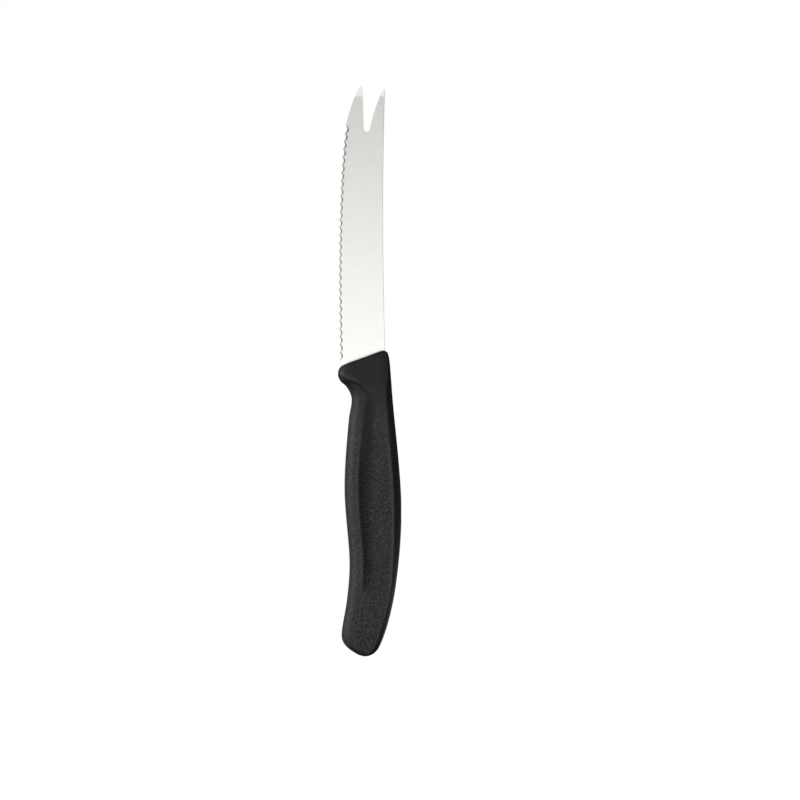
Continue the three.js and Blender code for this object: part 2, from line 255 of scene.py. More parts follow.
# Room: the parts of a direction between which one colour turns into the next
BACKDROP_TURN = (0.93, 0.995)
RIGHT_TURN = (0.0, 0.3)
RAISED_TURN = (-0.3, 0.6)
LEFT_TURN = (-0.3, -0.6)
ROOM_MIDDLE = (0.15, 0.148, 0.144, 1)
ROOM_LEFT_LOW = (0.16, 0.156, 0.148, 1)
ROOM_LEFT_HIGH = (0.5, 0.49, 0.47, 1)
ROOM_RIGHT = (0.02, 0.0198, 0.019, 1)
BACKDROP = (0.9, 0.9, 0.9, 1)

# Lamps: name, place, the point they face, width, height and radiance
KNIFE_MIDDLE = (0.0, 0.0, -0.05)
SOFTBOXES = [
    ("front_softbox_low", (0.0, -1.35, -0.28), (0.0, 0.0, -0.28), 0.75, 0.24, 2.58),
    ("front_softbox_middle", (0.0, -1.35, -0.06), (0.0, 0.0, -0.06), 0.75, 0.20, 1.0),
    ("front_softbox_high", (0.0, -1.35, 0.08), (0.0, 0.0, 0.08), 0.75, 0.11, 1.66),
    ("top_softbox", (0.0, -1.45, 0.72), KNIFE_MIDDLE, 0.75, 0.4, 1.8),
    ("left_softbox", (-1.5, -0.12, 0.12), KNIFE_MIDDLE, 0.9, 0.8, 2.3),
    ("left_top_softbox", (-1.27, -0.785, 0.75), KNIFE_MIDDLE, 0.5, 0.5, 1.2),
    ("left_front_softbox", (-0.85, -1.25, -0.1), KNIFE_MIDDLE, 0.6, 0.6, 1.1),
]


def place(points):
    """Millimetres from the heel to metres in the knife's frame: lower by the rack height, then scale."""
    return (np.asarray(points, float) - (0, 0, RACK_HEIGHT)) * MM


def smoothstep(x, low, high):
    """0 below low, 1 above high, and 3t^2 - 2t^3 between, with t the share of the way."""
    t = np.clip((x - low) / (high - low), 0, 1)
    return t * t * (3 - 2 * t)


def lerp(a, b, t):
    """The point a share t of the way from a to b."""
    return a + (b - a) * t


def quarter_round(part):
    """Height of a quarter circle of radius 1 over a run of 1."""
    return np.sqrt(1 - (1 - np.clip(part, 0, 1)) ** 2)


def bell(offset, width):
    """A bell curve, e to the power of minus four times the squared share of the width."""
    return np.exp(-4 * (offset / width) ** 2)


def bow(start, pull, end, t):
    """A quadratic curve from start to end, drawn towards pull halfway."""
    return (1 - t) ** 2 * start + 2 * t * (1 - t) * pull + t**2 * end


def smooth_curve(points):
    """A centripetal Catmull-Rom curve through (reach, height) points, as a function of the share of its
    length. Between two points it is a cubic whose end slopes weigh the neighbours by the root of their
    distance."""
    given = np.asarray(points, float)
    p = np.vstack([2 * given[0] - given[1], given, 2 * given[-1] - given[-2]])
    a, b, c, d = p[:-3], p[1:-2], p[2:-1], p[3:]
    root = np.sqrt(np.linalg.norm(np.diff(p, axis=0), axis=1))[:, None]
    before, here, after = root[:-2], root[1:-1], root[2:]
    start = ((b - a) / before - (c - a) / (before + here) + (c - b) / here) * here
    end = ((c - b) / here - (d - b) / (here + after) + (d - c) / after) * here
    t = np.linspace(0, 1, CURVE_STEPS, endpoint=False)[:, None, None]
    cubic, square = 2 * b - 2 * c + start + end, 3 * c - 3 * b - 2 * start - end
    line = cubic * t**3 + square * t**2 + start * t + b
    line = np.vstack([line.transpose(1, 0, 2).reshape(-1, 2), given[-1]])
    run = np.concatenate([[0], np.cumsum(np.linalg.norm(np.diff(line, axis=0), axis=1))])
    return lambda share: np.stack([np.interp(share * run[-1], run, line[:, k]) for k in (0, 1)], -1)


def mesh_piece(name, points, faces, sharp_angle, **values):
    """A mesh object at the origin from metre points and faces, with a number per point for each named value.
    Points that coincide are welded, faces turned outwards, and edges over the given angle kept sharp."""
    mesh = bpy.data.meshes.new(name)
    mesh.from_pydata(points.tolist(), [], faces)
    for label, numbers in values.items():
        layer = mesh.attributes.new(label, "FLOAT", "POINT")
        layer.data.foreach_set("value", np.asarray(numbers, np.float32).ravel())
    solid = bmesh.new()
    solid.from_mesh(mesh)
    bmesh.ops.remove_doubles(solid, verts=solid.verts, dist=WELD)
    bmesh.ops.recalc_face_normals(solid, faces=solid.faces)
    solid.to_mesh(mesh)
    solid.free()
    mesh.shade_smooth()
    mesh.set_sharp_from_angle(angle=math.radians(sharp_angle))
    piece = bpy.data.objects.new(name, mesh)
    bpy.context.scene.collection.objects.link(piece)
    return piece


def grid_faces(rows, columns, first=0):
    """Quads of a grid that is open along its rows and closed round its columns, numbered from first."""
    i, j = np.meshgrid(np.arange(rows - 1), np.arange(columns), indexing="ij")
    k = (j + 1) % columns
    lower, upper = i * columns + first, (i + 1) * columns + first
    return np.stack([lower + j, upper + j, upper + k, lower + k], -1)


def end_cap(across, first, turn):
    """Faces that close a ring with so many points across it, numbered from first: a strip of quads from one
    side to the other, with a triangle at each end. A turn of -1 faces them the other way."""
    j = np.arange(across - 1)
    facing = 2 * across - 2 - j
    strip = np.stack([j, j + 1, facing - 1, facing], -1) + first
    faces = [strip[0, :3], *strip[1:-1], strip[-1, [0, 1, 3]]]
    return [face[::turn].tolist() for face in faces]


# Blade

def blade_half(x, z):
    """Half the steel's thickness: a straight taper from the strip's at the spine to the edge's, and the
    strip's all over the tang."""
    across = (x + EDGE_BELLY_REACH) / (EDGE_BELLY_REACH + SPINE_HEEL_REACH)
    return np.where(z < -HEEL_DEPTH, SPINE_THICKNESS, lerp(EDGE_THICKNESS, SPINE_THICKNESS, across)) / 2


def front_face(x, z):
    """The front face lies half the thickness forward, less what the grind takes off the tines above a level
    line."""
    return TINE_GRIND_SLOPE * np.maximum(z - TINE_GRIND_START, 0) - blade_half(x, z)


def tang_half(z):
    """Half the tang's width: a straight taper down to a round end."""
    taper = lerp(TANG_WIDTH / 2, TANG_END_RADIUS, z / TANG_END_START)
    into_end = np.clip(TANG_END_START - z, 0, TANG_END_RADIUS)
    return np.where(into_end > 0, np.sqrt(TANG_END_RADIUS**2 - into_end**2), taper)


# Points that the cutting edge runs through, as (reach, height), from the heel to the tip
edge_line = smooth_curve([
    (-EDGE_HEEL_REACH, 0),
    (-EDGE_BELLY_REACH, EDGE_BELLY_HEIGHT),
    (-7.75, BLADE_LENGTH - 31.2),
    (-6.05, SCALLOP_TOP),
    (-3.6, BLADE_LENGTH - 7.2),
    (-1.5, LONG_TINE_SHOULDER),
])
edge_table = np.vstack([edge_line(np.linspace(0, 1, EDGE_STEPS)), (0, BLADE_LENGTH)])


def edge_reach(z):
    """The cutting side: the tang's front, the heel's rounded corner, the curve through the tooth points, and
    a straight slope to the tip of the long tine."""
    heel = HEEL_ROUND * (np.clip(z, -HEEL_DEPTH, 0) / HEEL_DEPTH) ** 2
    reach = np.interp(z, edge_table[:, 1], edge_table[:, 0]) + heel
    return np.where(z < -HEEL_DEPTH, TANG_CENTRE - tang_half(z), reach)


def tip_over(z, top):
    """Share of the way back from a tine's top along the rounded tip: the root of the share of its height."""
    return np.sqrt(np.clip((top - z) / TINE_ROUND, 0, 1))


def spine_reach(z):
    """The spine side: the tang's back, a shallow bow from heel to tip, and the outside of the short tine's
    tip."""
    pull = 2 * SPINE_WAIST_REACH - (SPINE_HEEL_REACH + SPINE_TIP_REACH) / 2
    reach = bow(SPINE_HEEL_REACH, pull, SPINE_TIP_REACH, np.clip(z / SHORT_TINE_SHOULDER, 0, 1))
    reach = reach - SHORT_TINE_WIDTH / 4 * (1 - tip_over(z, SHORT_TINE_TOP)) ** 2
    return np.where(z < -HEEL_DEPTH, TANG_CENTRE + tang_half(z), reach)


def fork_floor_half(z):
    """Half the fork's width in its round floor, and nothing below it."""
    below_foot = np.clip(FORK_FOOT - z, 0, FORK_FLOOR_RADIUS)
    half = np.sqrt(np.clip(FORK_FLOOR_RADIUS**2 - below_foot**2, 0, None))
    return half * (z > FORK_FLOOR)


def middle_reach(z):
    """The line that splits the plate below the fork: its middle, or the tang's."""
    return np.where(z < -HEEL_DEPTH, TANG_CENTRE, FORK_FLOOR_REACH)


def long_tine_inside(z):
    """The fork's near side: its floor, then a slight bow up to the long tine's rounded tip."""
    foot = FORK_FLOOR_REACH - FORK_FLOOR_RADIUS
    up = np.clip((z - FORK_FOOT) / (LONG_TINE_SHOULDER - FORK_FOOT), 0, 1)
    side = bow(foot, LONG_TINE_REACH, LONG_TINE_REACH, up)
    side = side * (1 - (1 - tip_over(z, BLADE_LENGTH)) ** 2)
    return np.where(z < FORK_FOOT, middle_reach(z) - fork_floor_half(z), side)


def short_tine_inside(z):
    """The fork's far side: its floor, then a bow up to the short tine, and the inside of that tine's tip."""
    foot, top = FORK_FLOOR_REACH + FORK_FLOOR_RADIUS, SPINE_TIP_REACH - SHORT_TINE_WIDTH
    down = np.clip((SHORT_TINE_SHOULDER - z) / (SHORT_TINE_SHOULDER - FORK_FOOT), 0, 1)
    side = bow(top, lerp(foot, top, SHORT_TINE_BOW), foot, down)
    peak, pull = SPINE_TIP_REACH - SHORT_TINE_WIDTH / 4, SPINE_TIP_REACH - SHORT_TINE_WIDTH / 2
    tip = bow(peak, pull, top, tip_over(z, SHORT_TINE_TOP))
    side = np.where(z > SHORT_TINE_SHOULDER, tip, side)
    return np.where(z < FORK_FOOT, middle_reach(z) + fork_floor_half(z), side)


tooth_heights = SCALLOP_TOP - SCALLOP_PITCH * np.arange(SCALLOPS, -1, -1)
tooth_points = np.stack([edge_reach(tooth_heights), tooth_heights], -1)


def scalloped_edge(z):
    """The bevelled edge at a height: its point on the back face, its point on the front face, and how far the
    hollow falls short of the back. A hollow is a round cut between two tooth points, so its inset is what the
    circle's sagitta leaves of the scallop's rise, and it slopes from the back to the front at the grinding
    angle."""
    i = np.clip(np.searchsorted(tooth_heights, z, side="right") - 1, 0, SCALLOPS - 1)
    lower, upper = tooth_points[i], tooth_points[i + 1]
    chord = np.linalg.norm(upper - lower, axis=1)
    along = (upper - lower) / chord[:, None]
    inward = along[:, ::-1] * (1, -1)
    from_middle = (z - (lower[:, 1] + upper[:, 1]) / 2) / along[:, 1]
    rise = SCALLOP_DEPTH * math.sin(SCALLOP_ANGLE)
    radius = chord**2 / (8 * rise) + rise / 2
    sagitta = radius - np.sqrt(np.clip(radius**2 - from_middle**2, 0, None))
    inset = (rise - sagitta) / math.sin(SCALLOP_ANGLE)
    scalloped = (z >= tooth_heights[0]) & (z <= tooth_heights[-1])
    reach = np.where(scalloped, np.interp(z, tooth_heights, tooth_points[:, 0]), edge_reach(z))
    on_line = np.stack([reach, z], -1)
    run = 2 * blade_half(reach, z) / SCALLOP_SLOPE
    back = on_line + inward * np.maximum(inset, 0)[:, None]
    front = on_line + inward * np.maximum(inset + run, 0)[:, None]
    return back, front, np.maximum(inset, -run) * SCALLOP_SLOPE


def blade_heights():
    """Heights of the rows: close together on the scallops and in every round, and on each line where a face
    bends."""
    quarter = np.linspace(0, math.pi / 2, ROUND_ROWS)
    lowest, highest = tooth_heights[0], tooth_heights[-1]
    return np.concatenate([
        TANG_END_START - TANG_END_RADIUS * np.cos(quarter),
        np.linspace(TANG_END_START, -HEEL_DEPTH - HAIR, TANG_ROWS),
        np.linspace(-HEEL_DEPTH, lowest - SCALLOP_RUN_OUT, HEEL_ROWS),
        np.linspace(lowest - SCALLOP_RUN_OUT, lowest, RUN_OUT_ROWS),
        np.linspace(lowest, highest, SCALLOP_ROWS * SCALLOPS + 1),
        np.linspace(highest, highest + SCALLOP_RUN_OUT, RUN_OUT_ROWS),
        np.linspace(highest + SCALLOP_RUN_OUT, TINE_GRIND_START, PLAIN_ROWS),
        np.linspace(TINE_GRIND_START, SHORT_TINE_SHOULDER, GRIND_ROWS),
        FORK_FOOT - FORK_FLOOR_RADIUS * np.cos(quarter),
    ])


def tine_heights(common, top):
    """The common rows and those of one tine's tip, each height once. They crowd towards the rounded top."""
    tip = top - (top - SHORT_TINE_SHOULDER) * np.linspace(1, 0, TIP_ROWS) ** 2
    return np.unique(np.round(np.concatenate([common, tip]), HEIGHT_DIGITS))


def make_blade():
    """Two halves side by side, welded up to the fork's floor. Each is a stack of closed sections: along the
    front face, over the side, back along the back face and over the other side. Where both halves share the
    middle line there is no side between them."""
    steps = np.linspace(0, 1, PLATE_STEPS)
    common = blade_heights()
    z = tine_heights(common, BLADE_LENGTH)
    back, front, short_of_back = scalloped_edge(z)
    inner = np.stack([long_tine_inside(z), z], -1)
    rimmed = np.concatenate([[0, GROUND_RIM], steps[1:]])
    front_x, front_z = np.moveaxis(lerp(front, inner, rimmed[:, None, None]), -1, 0)
    back_x, back_z = np.moveaxis(lerp(inner, back, steps[:, None, None]), -1, 0)
    land = blade_half(back[:, 0], z) + np.minimum(short_of_back, -CUTTING_LAND)
    land = np.maximum(land, front_face(back[:, 0], z))
    long_half = np.concatenate([
        np.stack([front_x, front_face(front_x, front_z), front_z], -1),
        np.stack([back_x, blade_half(back_x, back_z), back_z], -1),
        np.stack([back[:, 0], land, z], -1)[None],
    ]).transpose(1, 0, 2)
    long_side, long_open = len(rimmed) - 1, z[:-1] >= FORK_FLOOR - HAIR
    # Per point, how deep it lies in a hollow of the edge's bevel: it makes the steel rougher there and paints
    # shade into its colour
    ground = np.zeros(long_half.shape[:2])
    hollow = np.clip(short_of_back / (SCALLOP_DEPTH * SCALLOP_SLOPE), 0, 1)
    ground[:, 0] = ground[:, -1] = np.where(short_of_back > -EDGE_THICKNESS, hollow, 0)

    z = tine_heights(common, SHORT_TINE_TOP)
    inside, spine = short_tine_inside(z), spine_reach(z)
    broken = np.minimum(SPINE_BREAK, TIP_BREAK_SHARE * (spine - inside))
    across = lerp(inside, spine - broken, steps[:, None])
    up = np.broadcast_to(z, across.shape)
    short_half = np.concatenate([
        np.stack([across, front_face(across, up), up], -1),
        np.stack([spine, front_face(spine, z) + broken, z], -1)[None],
        np.stack([spine, blade_half(spine, z) - broken, z], -1)[None],
        np.stack([across, blade_half(across, up), up], -1)[::-1],
    ]).transpose(1, 0, 2)
    short_side, short_open = short_half.shape[1] - 1, z[:-1] >= FORK_FLOOR - HAIR

    faces, count = [], 0
    for half, side, is_open in ((long_half, long_side, long_open), (short_half, short_side, short_open)):
        rows, columns = half.shape[:2]
        quads = grid_faces(rows, columns, count)
        keep = np.ones(quads.shape[:2], bool)
        keep[:, side] = is_open
        faces += quads[keep].tolist()
        count += rows * columns
    points = place(np.concatenate([long_half.reshape(-1, 3), short_half.reshape(-1, 3)]))
    low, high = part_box("blade")
    points = np.clip(points, np.array(low), np.array(high))
    ground = np.concatenate([ground.ravel(), np.zeros(count - ground.size)])
    return mesh_piece("blade_steel_strip", points, faces, BLADE_SHARP_ANGLE, ground=ground)


# Handle

# Points that the belly runs through: front, guard, notch, swell, waist and butt
belly_line = smooth_curve([
    (-FRONT_REACH, 0),
    (0.85 - GUARD_REACH, 2.7 - GUARD_DROP),
    (-GUARD_REACH, -GUARD_DROP),
    (1 - GUARD_REACH, -2.7 - GUARD_DROP),
    (-2.05 - NOTCH_REACH, 4.3 - NOTCH_DROP),
    (-NOTCH_REACH, -NOTCH_DROP),
    (-1.1 - NOTCH_REACH, -9.2 - NOTCH_DROP),
    (-SWELL_REACH, -SWELL_DROP),
    (-WAIST_REACH, -WAIST_DROP),
    (-lerp(WAIST_REACH, BUTT_REACH, 0.3), lerp(-WAIST_DROP, BUTT_TOP, 0.475)),
    (-BUTT_REACH, BUTT_TOP),
    (0.6 - BUTT_REACH, 5.6 - HANDLE_LENGTH),
    (2.4 - BUTT_REACH, 3.35 - HANDLE_LENGTH),
    (4.7 - BUTT_REACH, 1.85 - HANDLE_LENGTH),
])

# Points that the back runs through: front, shoulder, swell and butt
back_line = smooth_curve([
    (FRONT_REACH, FRONT_TOP),
    (BACK_FRONT - 2.2, FRONT_TOP + 0.85),
    (BACK_FRONT - 0.7, FRONT_TOP + 0.35),
    (BACK_FRONT, FRONT_TOP - 1.2),
    (BACK_FRONT + 1.6, FRONT_TOP - 18.6),
    (BACK_SWELL_REACH, -BACK_SWELL_DROP),
    (BACK_SWELL_REACH - 2.25, 27.7 - HANDLE_LENGTH),
    (10.65, 13.5 - HANDLE_LENGTH),
    (7.8, 5.2 - HANDLE_LENGTH),
    (6.35, 2.5 - HANDLE_LENGTH),
    (4.5, 0.8 - HANDLE_LENGTH),
    (1.9, -HANDLE_LENGTH),
    (0, 0.3 - HANDLE_LENGTH),
])


def grip_share(z):
    """0 down to the notch, 1 from the swell on, and a smooth step between."""
    return smoothstep(-z, NOTCH_DROP, SWELL_DROP)


def side_half(x, z):
    """Half the handle's thickness: full at the swell, thinning towards the front with the cube of the
    distance, less at the butt, and rounded over in a quarter circle towards the sloping front face and
    towards the butt."""
    to_swell = np.clip((SWELL_DROP + z) / (SWELL_DROP + FRONT_TOP), 0, 1)
    grip = lerp(SWELL_THICKNESS, FRONT_THICKNESS, to_swell**3)
    grip = lerp(grip, BUTT_THICKNESS, smoothstep(-z, SWELL_DROP, HANDLE_LENGTH)) / 2
    from_front = ((x + FRONT_REACH) * math.tan(FRONT_SLOPE) - z) * math.cos(FRONT_SLOPE)
    butt_start, butt_end = belly_line(1.0), back_line(1.0)
    run = (butt_end - butt_start) / np.linalg.norm(butt_end - butt_start)
    from_butt = (butt_start[0] - x) * run[1] - (butt_start[1] - z) * run[0]
    front_loss = FRONT_ROUND * (1 - quarter_round(from_front / FRONT_ROUND))
    butt_loss = BUTT_ROUND * (1 - quarter_round(from_butt / BUTT_ROUND))
    return grip - front_loss - butt_loss


def panel_fade(z):
    """Share of its depth that the side panel has along the handle: it fades out towards the front and the
    butt."""
    start, end = NOTCH_DROP - PANEL_FADE / 2, WAIST_DROP + PANEL_FADE / 4
    return smoothstep(-z, start, start + PANEL_FADE) * (1 - smoothstep(-z, end, end + PANEL_FADE))


def panel_drop(at, x, z):
    """How far the side panel lies below the crest of the belly roll, at a distance from the belly. Behind the
    crest it falls in a parabola, steep at first and level at the panel's reach. At the notch the fall is a
    soft step instead."""
    run = np.maximum(PANEL_REACH - (x - at) - CREST_REACH, CREST_REACH / 2)
    crisp = 1 - (1 - np.clip((at - CREST_REACH) / run, 0, 1)) ** 2
    soft = smoothstep(at, SOFT_STEP_START * CREST_REACH, CREST_REACH + SOFT_STEP_RUN * run)
    fall = lerp(soft, crisp, smoothstep(-z, NOTCH_DROP + PANEL_FADE, SWELL_DROP))
    return PANEL_SLOPE * run / 2 * panel_fade(z) * fall


def guard_ridge(x, z):
    """The ridge that runs back and down from the guard's nose: a bell across that line, fading along it. With
    it come the distances along the line and above it."""
    over, up = x + GUARD_REACH, z + GUARD_DROP - RIDGE_RISE
    along = over * math.cos(RIDGE_ANGLE) - up * math.sin(RIDGE_ANGLE)
    above = over * math.sin(RIDGE_ANGLE) + up * math.cos(RIDGE_ANGLE)
    fade = 1 - smoothstep(along, RIDGE_FADE_START, RIDGE_LENGTH)
    return fade * bell(above, RIDGE_WIDTH), along, above


def guard_relief(x, z):
    """Height of the guard's ridge, less the scoop under it, which is a bell along the ridge and across it."""
    ridge, along, above = guard_ridge(x, z)
    scoop = bell(above + SCOOP_DROP, SCOOP_WIDTH) * bell(along - SCOOP_MIDDLE, SCOOP_LENGTH)
    return RIDGE_HEIGHT * ridge - SCOOP_DEPTH * scoop


def front_lean(to_back, z):
    """How far the guard's side leans inwards near the back: a parabola that is level at its reach."""
    return FRONT_LEAN * np.clip(1 - to_back / LEAN_REACH, 0, 1) ** 2 * (1 - grip_share(z))


def crown_width(z):
    """How far the rounded back reaches across the side: little at the front, most at the swell, less at the
    butt."""
    wide = lerp(FRONT_CROWN, SWELL_CROWN, smoothstep(-z, 0, NOTCH_DROP))
    return lerp(wide, BUTT_CROWN, smoothstep(-z, BACK_SWELL_DROP, WAIST_DROP + PANEL_FADE))


def back_fall(to_back, crown, z):
    """Share of the thickness that is left near the back: a quarter ellipse at the front of the handle, and
    further down a parabola, whose corner with the side is eased."""
    part = np.clip(to_back / crown, 0, CREASE_SPAN)
    eased = -CREASE_ROUND * np.logaddexp(-np.sqrt(part) / CREASE_ROUND, -1 / CREASE_ROUND)
    return lerp(quarter_round(part), np.clip(eased, 0, 1), grip_share(z))


def handle_wear(at, to_crown, x, z):
    """How rubbed and polished the plastic is, and how much highlight is painted there, as the strongest of
    three bells:
    along the edge of the crowned back down to the butt, along the crest of the belly roll, and on the guard's
    ridge a little in from the belly."""
    above_butt = 1 - smoothstep(-z, WAIST_DROP + PANEL_FADE, WAIST_DROP + 2 * PANEL_FADE)
    crease = CREASE_WEAR_SHEEN * bell(CREASE_SHEEN_SHIFT - to_crown, CREASE_SHEEN_WIDTH) * above_butt
    crest = CREST_WEAR_SHEEN * bell(at - CREST_REACH + CREST_SHEEN_SHIFT, CREST_SHEEN_WIDTH) * panel_fade(z)
    ridge = RIDGE_WEAR_SHEEN * guard_ridge(x, z)[0] * smoothstep(at, RIDGE_SHEEN_START, RIDGE_SHEEN_FULL)
    return np.maximum(grip_share(z) * np.maximum(crease, crest), ridge)


def make_handle():
    """Sections between the belly line and the back line, at equal shares of both lengths. Across a section
    the half thickness rises in a quarter ellipse over the belly roll, drops behind its crest to the side
    panel, and falls off at the back. Both sides are alike, with a fine raised parting line where they
    meet."""
    share = np.linspace(0, 1, HANDLE_ROWS)
    belly, back = belly_line(share), back_line(share)
    width = np.linalg.norm(back - belly, axis=1)[:, None]
    roll = np.minimum(BELLY_ROLL, MOST_ROLL * width)
    crown = np.minimum(crown_width(back[:, 1:]), MOST_CROWN * width)
    crest = np.minimum(CREST_REACH, MOST_CREST * width)
    crest_start, crest_end, crown_start = CREST_START * crest, CREST_END * crest, CROWN_SPAN * crown
    turn = np.linspace(0, math.pi / 2, ROLL_STEPS, endpoint=False)
    at = np.hstack([
        crest_start * (1 - np.cos(turn)),
        lerp(crest_start, crest_end, np.linspace(0, 1, CREST_STEPS, endpoint=False)),
        lerp(crest_end, width - crown_start, np.linspace(0, 1, SIDE_STEPS, endpoint=False)),
        width - crown_start * np.linspace(1, 0, CROWN_STEPS) ** 2,
    ])
    x, z = (lerp(belly[:, k:k + 1], back[:, k:k + 1], at / width) for k in (0, 1))
    shape = quarter_round(at / roll) * back_fall(width - at, crown, z)
    side = side_half(x, z) + guard_relief(x, z) - panel_drop(at, x, z) - front_lean(width - at, z)
    half = shape * side
    out = (back - belly) / width
    x[:, 0] -= PARTING_RIDGE * out[:, 0]
    z[:, 0] -= PARTING_RIDGE * out[:, 1]
    x[:, -1] += PARTING_RIDGE * out[:, 0]
    z[:, -1] += PARTING_RIDGE * out[:, 1]
    half[:, 0] = half[:, -1] = 0
    ring = np.stack([x, -half, z], -1)
    far = ring[:, -2:0:-1] * (1, -1, 1)
    points = place(np.concatenate([ring, far], 1))
    low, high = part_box("handle")
    points = np.clip(points, np.array(low), np.array(high))
    columns, across = points.shape[1], at.shape[1]
    faces = grid_faces(HANDLE_ROWS, columns).reshape(-1, 4).tolist()
    faces += end_cap(across, 0, 1) + end_cap(across, (HANDLE_ROWS - 1) * columns, -1)
    # Per point, how polished the crisp edges are; the same value paints a highlight into their colour
    wear_sheen = handle_wear(at, width - crown - at, x, z)
    wear_sheen = np.concatenate([wear_sheen, wear_sheen[:, -2:0:-1]], 1)
    return mesh_piece("handle_moulding", points.reshape(-1, 3), faces, PLAIN_SHARP_ANGLE, wear=wear_sheen)


# Shader nodes

class Nodes:
    """Adds nodes to an emptied tree and links them. A value is a number, a colour or another node's
    socket."""

    def __init__(self, tree):
        self.tree = tree
        tree.nodes.clear()

    def add(self, kind, inputs=None, **settings):
        node = self.tree.nodes.new(kind)
        for key, value in settings.items():
            setattr(node, key, value)
        for key, value in (inputs or {}).items():
            self.put(node.inputs[key], value)
        return node

    def put(self, socket, value):
        if isinstance(value, bpy.types.NodeSocket):
            self.tree.links.new(value, socket)
        else:
            socket.default_value = value

    def math(self, operation, *values, clamp=False):
        node = self.add("ShaderNodeMath", dict(enumerate(values)), operation=operation, use_clamp=clamp)
        return node.outputs[0]

    def weigh(self, values, weights):
        """The sum of two values, each times its weight."""
        return self.math("ADD", *(self.math("MULTIPLY", *pair) for pair in zip(values, weights)))

    def mix(self, share, first, second):
        node = self.add("ShaderNodeMix", data_type="RGBA")
        self.put(node.inputs["Factor"], share)
        self.put(node.inputs[6], first)
        self.put(node.inputs[7], second)
        return node.outputs[2]

    def spread(self, value, low, high, to_low=0.0, to_high=1.0):
        node = self.add("ShaderNodeMapRange", {0: value, 1: low, 2: high, 3: to_low, 4: to_high})
        return node.outputs[0]

    def split(self, vector):
        return self.add("ShaderNodeSeparateXYZ", {0: vector}).outputs

    def scale(self, vector, factors):
        return self.add("ShaderNodeVectorMath", {0: vector, 1: factors}, operation="MULTIPLY").outputs[0]

    def noise(self, vector, scale, detail, roughness):
        node = self.add("ShaderNodeTexNoise", {"Vector": vector, "Scale": scale, "Detail": detail,
                                               "Roughness": roughness})
        return node.outputs["Fac"]

    def bump(self, height, strength, distance):
        node = self.add("ShaderNodeBump", {"Height": height, "Strength": strength, "Distance": distance})
        return node.outputs[0]


def node_group(name, sizes, outputs):
    """A shader group that takes a vector and named sizes, each with its start value, and puts out numbers."""
    group = bpy.data.node_groups.new(name, "ShaderNodeTree")
    group.interface.new_socket("Vector", in_out="INPUT", socket_type="NodeSocketVector")
    for label, start in sizes.items():
        socket = group.interface.new_socket(label, in_out="INPUT", socket_type="NodeSocketFloat")
        socket.default_value = start
    for label in outputs:
        group.interface.new_socket(label, in_out="OUTPUT", socket_type="NodeSocketFloat")
    nodes = Nodes(group)
    return group, nodes, nodes.add("NodeGroupInput").outputs, nodes.add("NodeGroupOutput")


def streak_group():
    """Fine scratches all lying one way: noise that is stretched along the scratch and tight across it, coarse
    and fine lines added."""
    group, n, inputs, output = node_group("streaks", {"Length": 8.0, "Width": 0.4}, ["Height", "Streak"])
    per_length = n.math("DIVIDE", 1 / MM, inputs["Length"])
    per_width = n.math("DIVIDE", 1 / MM, inputs["Width"])
    split = n.split(inputs["Vector"])
    along = n.math("MULTIPLY", split[0], per_length)
    across = n.math("MULTIPLY", split[2], per_width)
    depth = n.math("MULTIPLY", split[1], per_length)
    coarse_at = n.add("ShaderNodeCombineXYZ", {0: along, 1: depth, 2: across}).outputs[0]
    coarse = n.noise(coarse_at, **STREAK_NOISE)
    fine = n.noise(n.scale(coarse_at, STREAK_FINENESS), **STREAK_NOISE)
    n.put(output.inputs["Height"], n.weigh((coarse, fine), STREAK_WEIGHTS))
    n.put(output.inputs["Streak"], n.spread(coarse, *STREAK_RANGE))
    return group


def grain_group():
    """Spark-eroded mould grain: rounded pits and peaks of one size with a finer roughness on them."""
    group, n, inputs, output = node_group("spark_grain", {"Size": 0.5}, ["Height", "Glint"])
    per_size = n.math("DIVIDE", 1 / MM, inputs["Size"])
    coarse = n.noise(inputs["Vector"], per_size, **GRAIN_NOISE)
    fine = n.noise(inputs["Vector"], n.math("MULTIPLY", per_size, GRAIN_FINENESS), **GRAIN_NOISE)
    height = n.weigh((coarse, fine), GRAIN_WEIGHTS)
    n.put(output.inputs["Height"], height)
    n.put(output.inputs["Glint"], n.spread(height, *GLINT_RANGE))
    return group


STREAKS = streak_group()
GRAIN = grain_group()


def new_material(name):
    """A material with an empty node tree, and its node helper."""
    material = bpy.data.materials.new(name)
    material.use_nodes = True
    return material, Nodes(material.node_tree)


def new_surface(name):
    """A material with a Principled shader alone, its node helper and that shader."""
    material, n = new_material(name)
    shader = n.add("ShaderNodeBsdfPrincipled")
    n.add("ShaderNodeOutputMaterial", {"Surface": shader.outputs[0]})
    return material, n, shader


def steel_material():
    """Stainless strip brushed across the blade. The hollows of the edge are a little coarser from grinding,
    and coloured darker as painted shade, standing in for the dark surroundings they mirror."""
    material, n, shader = new_surface("brushed_steel")
    at = n.add("ShaderNodeTexCoord").outputs["Object"]
    sizes = {"Vector": at, "Length": BRUSH_LENGTH, "Width": BRUSH_WIDTH}
    lines = n.add("ShaderNodeGroup", node_tree=STREAKS)
    for label, value in sizes.items():
        n.put(lines.inputs[label], value)
    streak = lines.outputs["Streak"]
    ground = n.add("ShaderNodeAttribute", attribute_name="ground").outputs["Fac"]
    brushed = n.mix(streak, STEEL_DULL, STEEL_BRIGHT)
    # Painted shade: the hollows of the edge are coloured darker
    n.put(shader.inputs["Base Color"], n.mix(ground, brushed, STEEL_HOLLOW_SHADE))
    rough = n.spread(streak, 0, 1, *STEEL_ROUGHNESS)
    n.put(shader.inputs["Roughness"], n.math("ADD", rough, n.math("MULTIPLY", ground, GROUND_ROUGHNESS)))
    shader.inputs["Metallic"].default_value = 1.0
    n.put(shader.inputs["Normal"], n.bump(lines.outputs["Height"], BRUSH_BUMP, BRUSH_DEPTH * MM))
    return material


